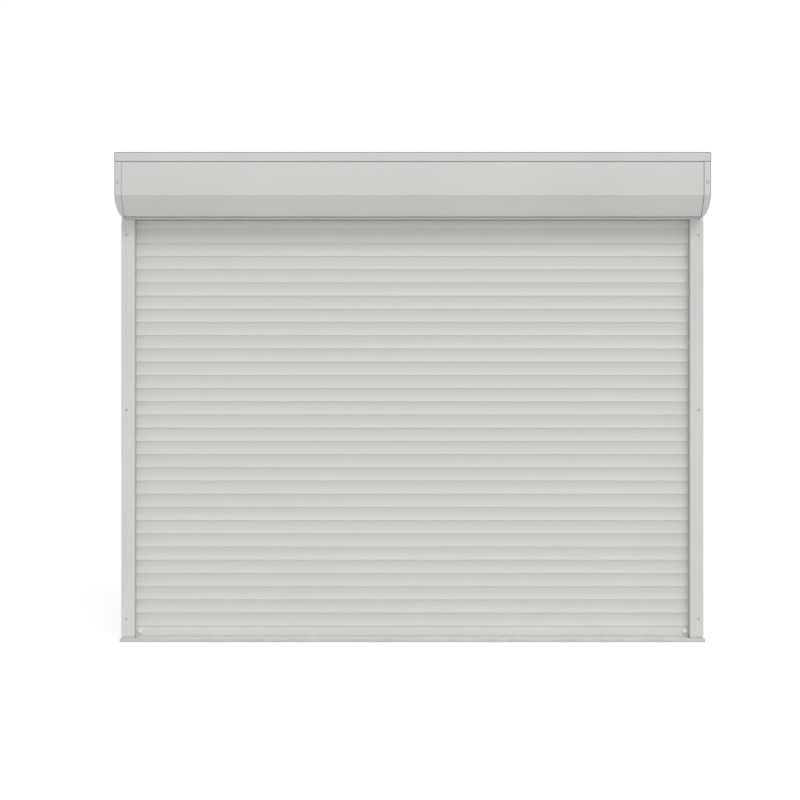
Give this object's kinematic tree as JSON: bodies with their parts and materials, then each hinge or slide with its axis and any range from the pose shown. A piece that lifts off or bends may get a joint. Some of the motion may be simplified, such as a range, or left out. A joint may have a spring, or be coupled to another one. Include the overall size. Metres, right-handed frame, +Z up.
{
  "type": "motorised roll-up door",
  "caption": "Motorised slatted roll-up door with side guide rails, a casing with a sloped front over the opening, a bottom bar with end stops and a low sill.",
  "frame": {"origin": "on the floor under the sill, in the middle of the opening's width and of the curtain's thickness", "axes": "+X along the opening to the right as seen from the room, +Y to the wall that carries the door, +Z up"},
  "size_m": [3.39, 0.36, 2.8118],
  "materials": {
    "anodised_aluminium": "satin silver-grey coating",
    "coated_aluminium": "matt light-grey powder coat",
    "coated_slat": "satin light-grey lacquer",
    "steel": "galvanised",
    "stainless": "plain",
    "motor_paint": "semi-gloss",
    "plastic_grey": "matt",
    "plastic_dark": "matt",
    "rubber": "matt",
    "seal_strip": "matt"
  },
  "bodies": {
    "frame": {"sill": "anodised_aluminium", "rail_feet": "plastic_grey", "left_guide_rail": "coated_aluminium", "right_guide_rail": "coated_aluminium", "rail_slot_seals": "seal_strip", "rail_cover_caps": "plastic_grey", "casing_top_cover": "coated_aluminium", "casing_front_panel": "coated_aluminium", "casing_bottom_panel": "coated_aluminium", "casing_back_panel": "coated_aluminium", "left_end_cap": "coated_aluminium", "right_end_cap": "coated_aluminium", "casing_screws": "stainless", "motor_bracket": "steel", "idler_bracket": "steel", "idler_bearing": "stainless", "tubular_motor": "motor_paint", "cable_grommet": "rubber"},
    "bottom_bar": {"bottom_bar": "coated_aluminium", "bottom_seal": "rubber", "end_stops": "rubber"},
    "barrel": {"barrel_tube": "steel", "drive_adapter": "plastic_dark", "idler_shaft": "steel", "hanger_rings": "steel"},
    "upper_links": {"hanger_upper_links": "steel"},
    "lower_links": {"hanger_lower_links": "steel"},
    "slat_01": {"slat_01": "coated_slat"},
    "slat_02": {"slat_02": "coated_slat"},
    "slat_03": {"slat_03": "coated_slat"},
    "slat_04": {"slat_04": "coated_slat"},
    "slat_05": {"slat_05": "coated_slat"},
    "slat_06": {"slat_06": "coated_slat"},
    "slat_07": {"slat_07": "coated_slat"},
    "slat_08": {"slat_08": "coated_slat"},
    "slat_09": {"slat_09": "coated_slat"},
    "slat_10": {"slat_10": "coated_slat"},
    "slat_11": {"slat_11": "coated_slat"},
    "slat_12": {"slat_12": "coated_slat"},
    "slat_13": {"slat_13": "coated_slat"},
    "slat_14": {"slat_14": "coated_slat"},
    "slat_15": {"slat_15": "coated_slat"},
    "slat_16": {"slat_16": "coated_slat"},
    "slat_17": {"slat_17": "coated_slat"},
    "slat_18": {"slat_18": "coated_slat"},
    "slat_19": {"slat_19": "coated_slat"},
    "slat_20": {"slat_20": "coated_slat"},
    "slat_21": {"slat_21": "coated_slat"},
    "slat_22": {"slat_22": "coated_slat"},
    "slat_23": {"slat_23": "coated_slat"},
    "slat_24": {"slat_24": "coated_slat"},
    "slat_25": {"slat_25": "coated_slat"},
    "slat_26": {"slat_26": "coated_slat"},
    "slat_27": {"slat_27": "coated_slat"},
    "slat_28": {"slat_28": "coated_slat"},
    "slat_29": {"slat_29": "coated_slat"},
    "slat_30": {"slat_30": "coated_slat"},
    "slat_31": {"slat_31": "coated_slat"},
    "slat_32": {"slat_32": "coated_slat"},
    "slat_33": {"slat_33": "coated_slat"}
  },
  "joints": [
    {"name": "bottom_bar_lift", "type": "slide", "parent": "frame", "child": "bottom_bar", "axis": [0, 0, 1], "range_m": [0, 2.37]},
    {"name": "barrel_turn", "type": "hinge", "parent": "frame", "child": "barrel", "pos_m": [0, -0.162, 2.63], "axis": [1, 0, 0], "range_deg": [0, 1512]},
    {"name": "upper_link_fold", "type": "hinge", "parent": "barrel", "child": "upper_links", "pos_m": [0, -0.13, 2.68543], "axis": [-1, 0, 0], "range_deg": [0, 18.1]},
    {"name": "lower_link_fold", "type": "hinge", "parent": "upper_links", "child": "lower_links", "pos_m": [0, -0.065, 2.65871], "axis": [-1, 0, 0], "range_deg": [0, 40.1]},
    {"name": "slat_01_lift", "type": "slide", "parent": "frame", "child": "slat_01", "axis": [0, 0, 1], "range_m": [0, 2.3701], "deforming": ["slat_01"]},
    {"name": "slat_02_lift", "type": "slide", "parent": "frame", "child": "slat_02", "axis": [0, 0, 1], "range_m": [0, 2.30123], "deforming": ["slat_02"]},
    {"name": "slat_03_lift", "type": "slide", "parent": "frame", "child": "slat_03", "axis": [0, 0, 1], "range_m": [0, 2.23235], "deforming": ["slat_03"]},
    {"name": "slat_04_lift", "type": "slide", "parent": "frame", "child": "slat_04", "axis": [0, 0, 1], "range_m": [0, 2.16348], "deforming": ["slat_04"]},
    {"name": "slat_05_lift", "type": "slide", "parent": "frame", "child": "slat_05", "axis": [0, 0, 1], "range_m": [0, 2.0946], "deforming": ["slat_05"]},
    {"name": "slat_06_lift", "type": "slide", "parent": "frame", "child": "slat_06", "axis": [0, 0, 1], "range_m": [0, 2.02572], "deforming": ["slat_06"]},
    {"name": "slat_07_lift", "type": "slide", "parent": "frame", "child": "slat_07", "axis": [0, 0, 1], "range_m": [0, 1.95685], "deforming": ["slat_07"]},
    {"name": "slat_08_lift", "type": "slide", "parent": "frame", "child": "slat_08", "axis": [0, 0, 1], "range_m": [0, 1.88797], "deforming": ["slat_08"]},
    {"name": "slat_09_lift", "type": "slide", "parent": "frame", "child": "slat_09", "axis": [0, 0, 1], "range_m": [0, 1.8191], "deforming": ["slat_09"]},
    {"name": "slat_10_lift", "type": "slide", "parent": "frame", "child": "slat_10", "axis": [0, 0, 1], "range_m": [0, 1.75022], "deforming": ["slat_10"]},
    {"name": "slat_11_lift", "type": "slide", "parent": "frame", "child": "slat_11", "axis": [0, 0, 1], "range_m": [0, 1.68135], "deforming": ["slat_11"]},
    {"name": "slat_12_lift", "type": "slide", "parent": "frame", "child": "slat_12", "axis": [0, 0, 1], "range_m": [0, 1.61248], "deforming": ["slat_12"]},
    {"name": "slat_13_lift", "type": "slide", "parent": "frame", "child": "slat_13", "axis": [0, 0, 1], "range_m": [0, 1.5436], "deforming": ["slat_13"]},
    {"name": "slat_14_lift", "type": "slide", "parent": "frame", "child": "slat_14", "axis": [0, 0, 1], "range_m": [0, 1.47473], "deforming": ["slat_14"]},
    {"name": "slat_15_lift", "type": "slide", "parent": "frame", "child": "slat_15", "axis": [0, 0, 1], "range_m": [0, 1.40585], "deforming": ["slat_15"]},
    {"name": "slat_16_lift", "type": "slide", "parent": "frame", "child": "slat_16", "axis": [0, 0, 1], "range_m": [0, 1.33698], "deforming": ["slat_16"]},
    {"name": "slat_17_lift", "type": "slide", "parent": "frame", "child": "slat_17", "axis": [0, 0, 1], "range_m": [0, 1.2681], "deforming": ["slat_17"]},
    {"name": "slat_18_lift", "type": "slide", "parent": "frame", "child": "slat_18", "axis": [0, 0, 1], "range_m": [0, 1.19922], "deforming": ["slat_18"]},
    {"name": "slat_19_lift", "type": "slide", "parent": "frame", "child": "slat_19", "axis": [0, 0, 1], "range_m": [0, 1.13035], "deforming": ["slat_19"]},
    {"name": "slat_20_lift", "type": "slide", "parent": "frame", "child": "slat_20", "axis": [0, 0, 1], "range_m": [0, 1.06147], "deforming": ["slat_20"]},
    {"name": "slat_21_lift", "type": "slide", "parent": "frame", "child": "slat_21", "axis": [0, 0, 1], "range_m": [0, 0.9926], "deforming": ["slat_21"]},
    {"name": "slat_22_lift", "type": "slide", "parent": "frame", "child": "slat_22", "axis": [0, 0, 1], "range_m": [0, 0.92373], "deforming": ["slat_22"]},
    {"name": "slat_23_lift", "type": "slide", "parent": "frame", "child": "slat_23", "axis": [0, 0, 1], "range_m": [0, 0.85485], "deforming": ["slat_23"]},
    {"name": "slat_24_lift", "type": "slide", "parent": "frame", "child": "slat_24", "axis": [0, 0, 1], "range_m": [0, 0.78597], "deforming": ["slat_24"]},
    {"name": "slat_25_lift", "type": "slide", "parent": "frame", "child": "slat_25", "axis": [0, 0, 1], "range_m": [0, 0.7171], "deforming": ["slat_25"]},
    {"name": "slat_26_lift", "type": "slide", "parent": "frame", "child": "slat_26", "axis": [0, 0, 1], "range_m": [0, 0.64823], "deforming": ["slat_26"]},
    {"name": "slat_27_lift", "type": "slide", "parent": "frame", "child": "slat_27", "axis": [0, 0, 1], "range_m": [0, 0.57935], "deforming": ["slat_27"]},
    {"name": "slat_28_lift", "type": "slide", "parent": "frame", "child": "slat_28", "axis": [0, 0, 1], "range_m": [0, 0.51048], "deforming": ["slat_28"]},
    {"name": "slat_29_lift", "type": "slide", "parent": "frame", "child": "slat_29", "axis": [0, 0, 1], "range_m": [0, 0.4416], "deforming": ["slat_29"]},
    {"name": "slat_30_lift", "type": "slide", "parent": "frame", "child": "slat_30", "axis": [0, 0, 1], "range_m": [0, 0.37272], "deforming": ["slat_30"]},
    {"name": "slat_31_lift", "type": "slide", "parent": "frame", "child": "slat_31", "axis": [0, 0, 1], "range_m": [0, 0.30385], "deforming": ["slat_31"]},
    {"name": "slat_32_lift", "type": "slide", "parent": "frame", "child": "slat_32", "axis": [0, 0, 1], "range_m": [0, 0.23497], "deforming": ["slat_32"]},
    {"name": "slat_33_lift", "type": "slide", "parent": "frame", "child": "slat_33", "axis": [0, 0, 1], "range_m": [0, 0.1661], "deforming": ["slat_33"]}
  ],
  "couplings": [
    {"joint": "barrel_turn", "follows": "bottom_bar_lift", "rad_per_m": 11.13},
    {"joint": "upper_link_fold", "follows": "bottom_bar_lift", "rad_per_m": 0.1325},
    {"joint": "lower_link_fold", "follows": "bottom_bar_lift", "rad_per_m": 0.2945},
    {"joint": "slat_01_lift", "follows": "bottom_bar_lift", "ratio": 1},
    {"joint": "slat_02_lift", "follows": "bottom_bar_lift", "ratio": 0.97094},
    {"joint": "slat_03_lift", "follows": "bottom_bar_lift", "ratio": 0.94188},
    {"joint": "slat_04_lift", "follows": "bottom_bar_lift", "ratio": 0.91282},
    {"joint": "slat_05_lift", "follows": "bottom_bar_lift", "ratio": 0.88375},
    {"joint": "slat_06_lift", "follows": "bottom_bar_lift", "ratio": 0.85469},
    {"joint": "slat_07_lift", "follows": "bottom_bar_lift", "ratio": 0.82563},
    {"joint": "slat_08_lift", "follows": "bottom_bar_lift", "ratio": 0.79657},
    {"joint": "slat_09_lift", "follows": "bottom_bar_lift", "ratio": 0.76751},
    {"joint": "slat_10_lift", "follows": "bottom_bar_lift", "ratio": 0.73845},
    {"joint": "slat_11_lift", "follows": "bottom_bar_lift", "ratio": 0.70939},
    {"joint": "slat_12_lift", "follows": "bottom_bar_lift", "ratio": 0.68033},
    {"joint": "slat_13_lift", "follows": "bottom_bar_lift", "ratio": 0.65127},
    {"joint": "slat_14_lift", "follows": "bottom_bar_lift", "ratio": 0.62221},
    {"joint": "slat_15_lift", "follows": "bottom_bar_lift", "ratio": 0.59314},
    {"joint": "slat_16_lift", "follows": "bottom_bar_lift", "ratio": 0.56408},
    {"joint": "slat_17_lift", "follows": "bottom_bar_lift", "ratio": 0.53502},
    {"joint": "slat_18_lift", "follows": "bottom_bar_lift", "ratio": 0.50596},
    {"joint": "slat_19_lift", "follows": "bottom_bar_lift", "ratio": 0.4769},
    {"joint": "slat_20_lift", "follows": "bottom_bar_lift", "ratio": 0.44784},
    {"joint": "slat_21_lift", "follows": "bottom_bar_lift", "ratio": 0.41878},
    {"joint": "slat_22_lift", "follows": "bottom_bar_lift", "ratio": 0.38971},
    {"joint": "slat_23_lift", "follows": "bottom_bar_lift", "ratio": 0.36065},
    {"joint": "slat_24_lift", "follows": "bottom_bar_lift", "ratio": 0.33159},
    {"joint": "slat_25_lift", "follows": "bottom_bar_lift", "ratio": 0.30253},
    {"joint": "slat_26_lift", "follows": "bottom_bar_lift", "ratio": 0.27347},
    {"joint": "slat_27_lift", "follows": "bottom_bar_lift", "ratio": 0.24441},
    {"joint": "slat_28_lift", "follows": "bottom_bar_lift", "ratio": 0.21535},
    {"joint": "slat_29_lift", "follows": "bottom_bar_lift", "ratio": 0.18629},
    {"joint": "slat_30_lift", "follows": "bottom_bar_lift", "ratio": 0.15723},
    {"joint": "slat_31_lift", "follows": "bottom_bar_lift", "ratio": 0.12817},
    {"joint": "slat_32_lift", "follows": "bottom_bar_lift", "ratio": 0.099103},
    {"joint": "slat_33_lift", "follows": "bottom_bar_lift", "ratio": 0.070042}
  ]
}
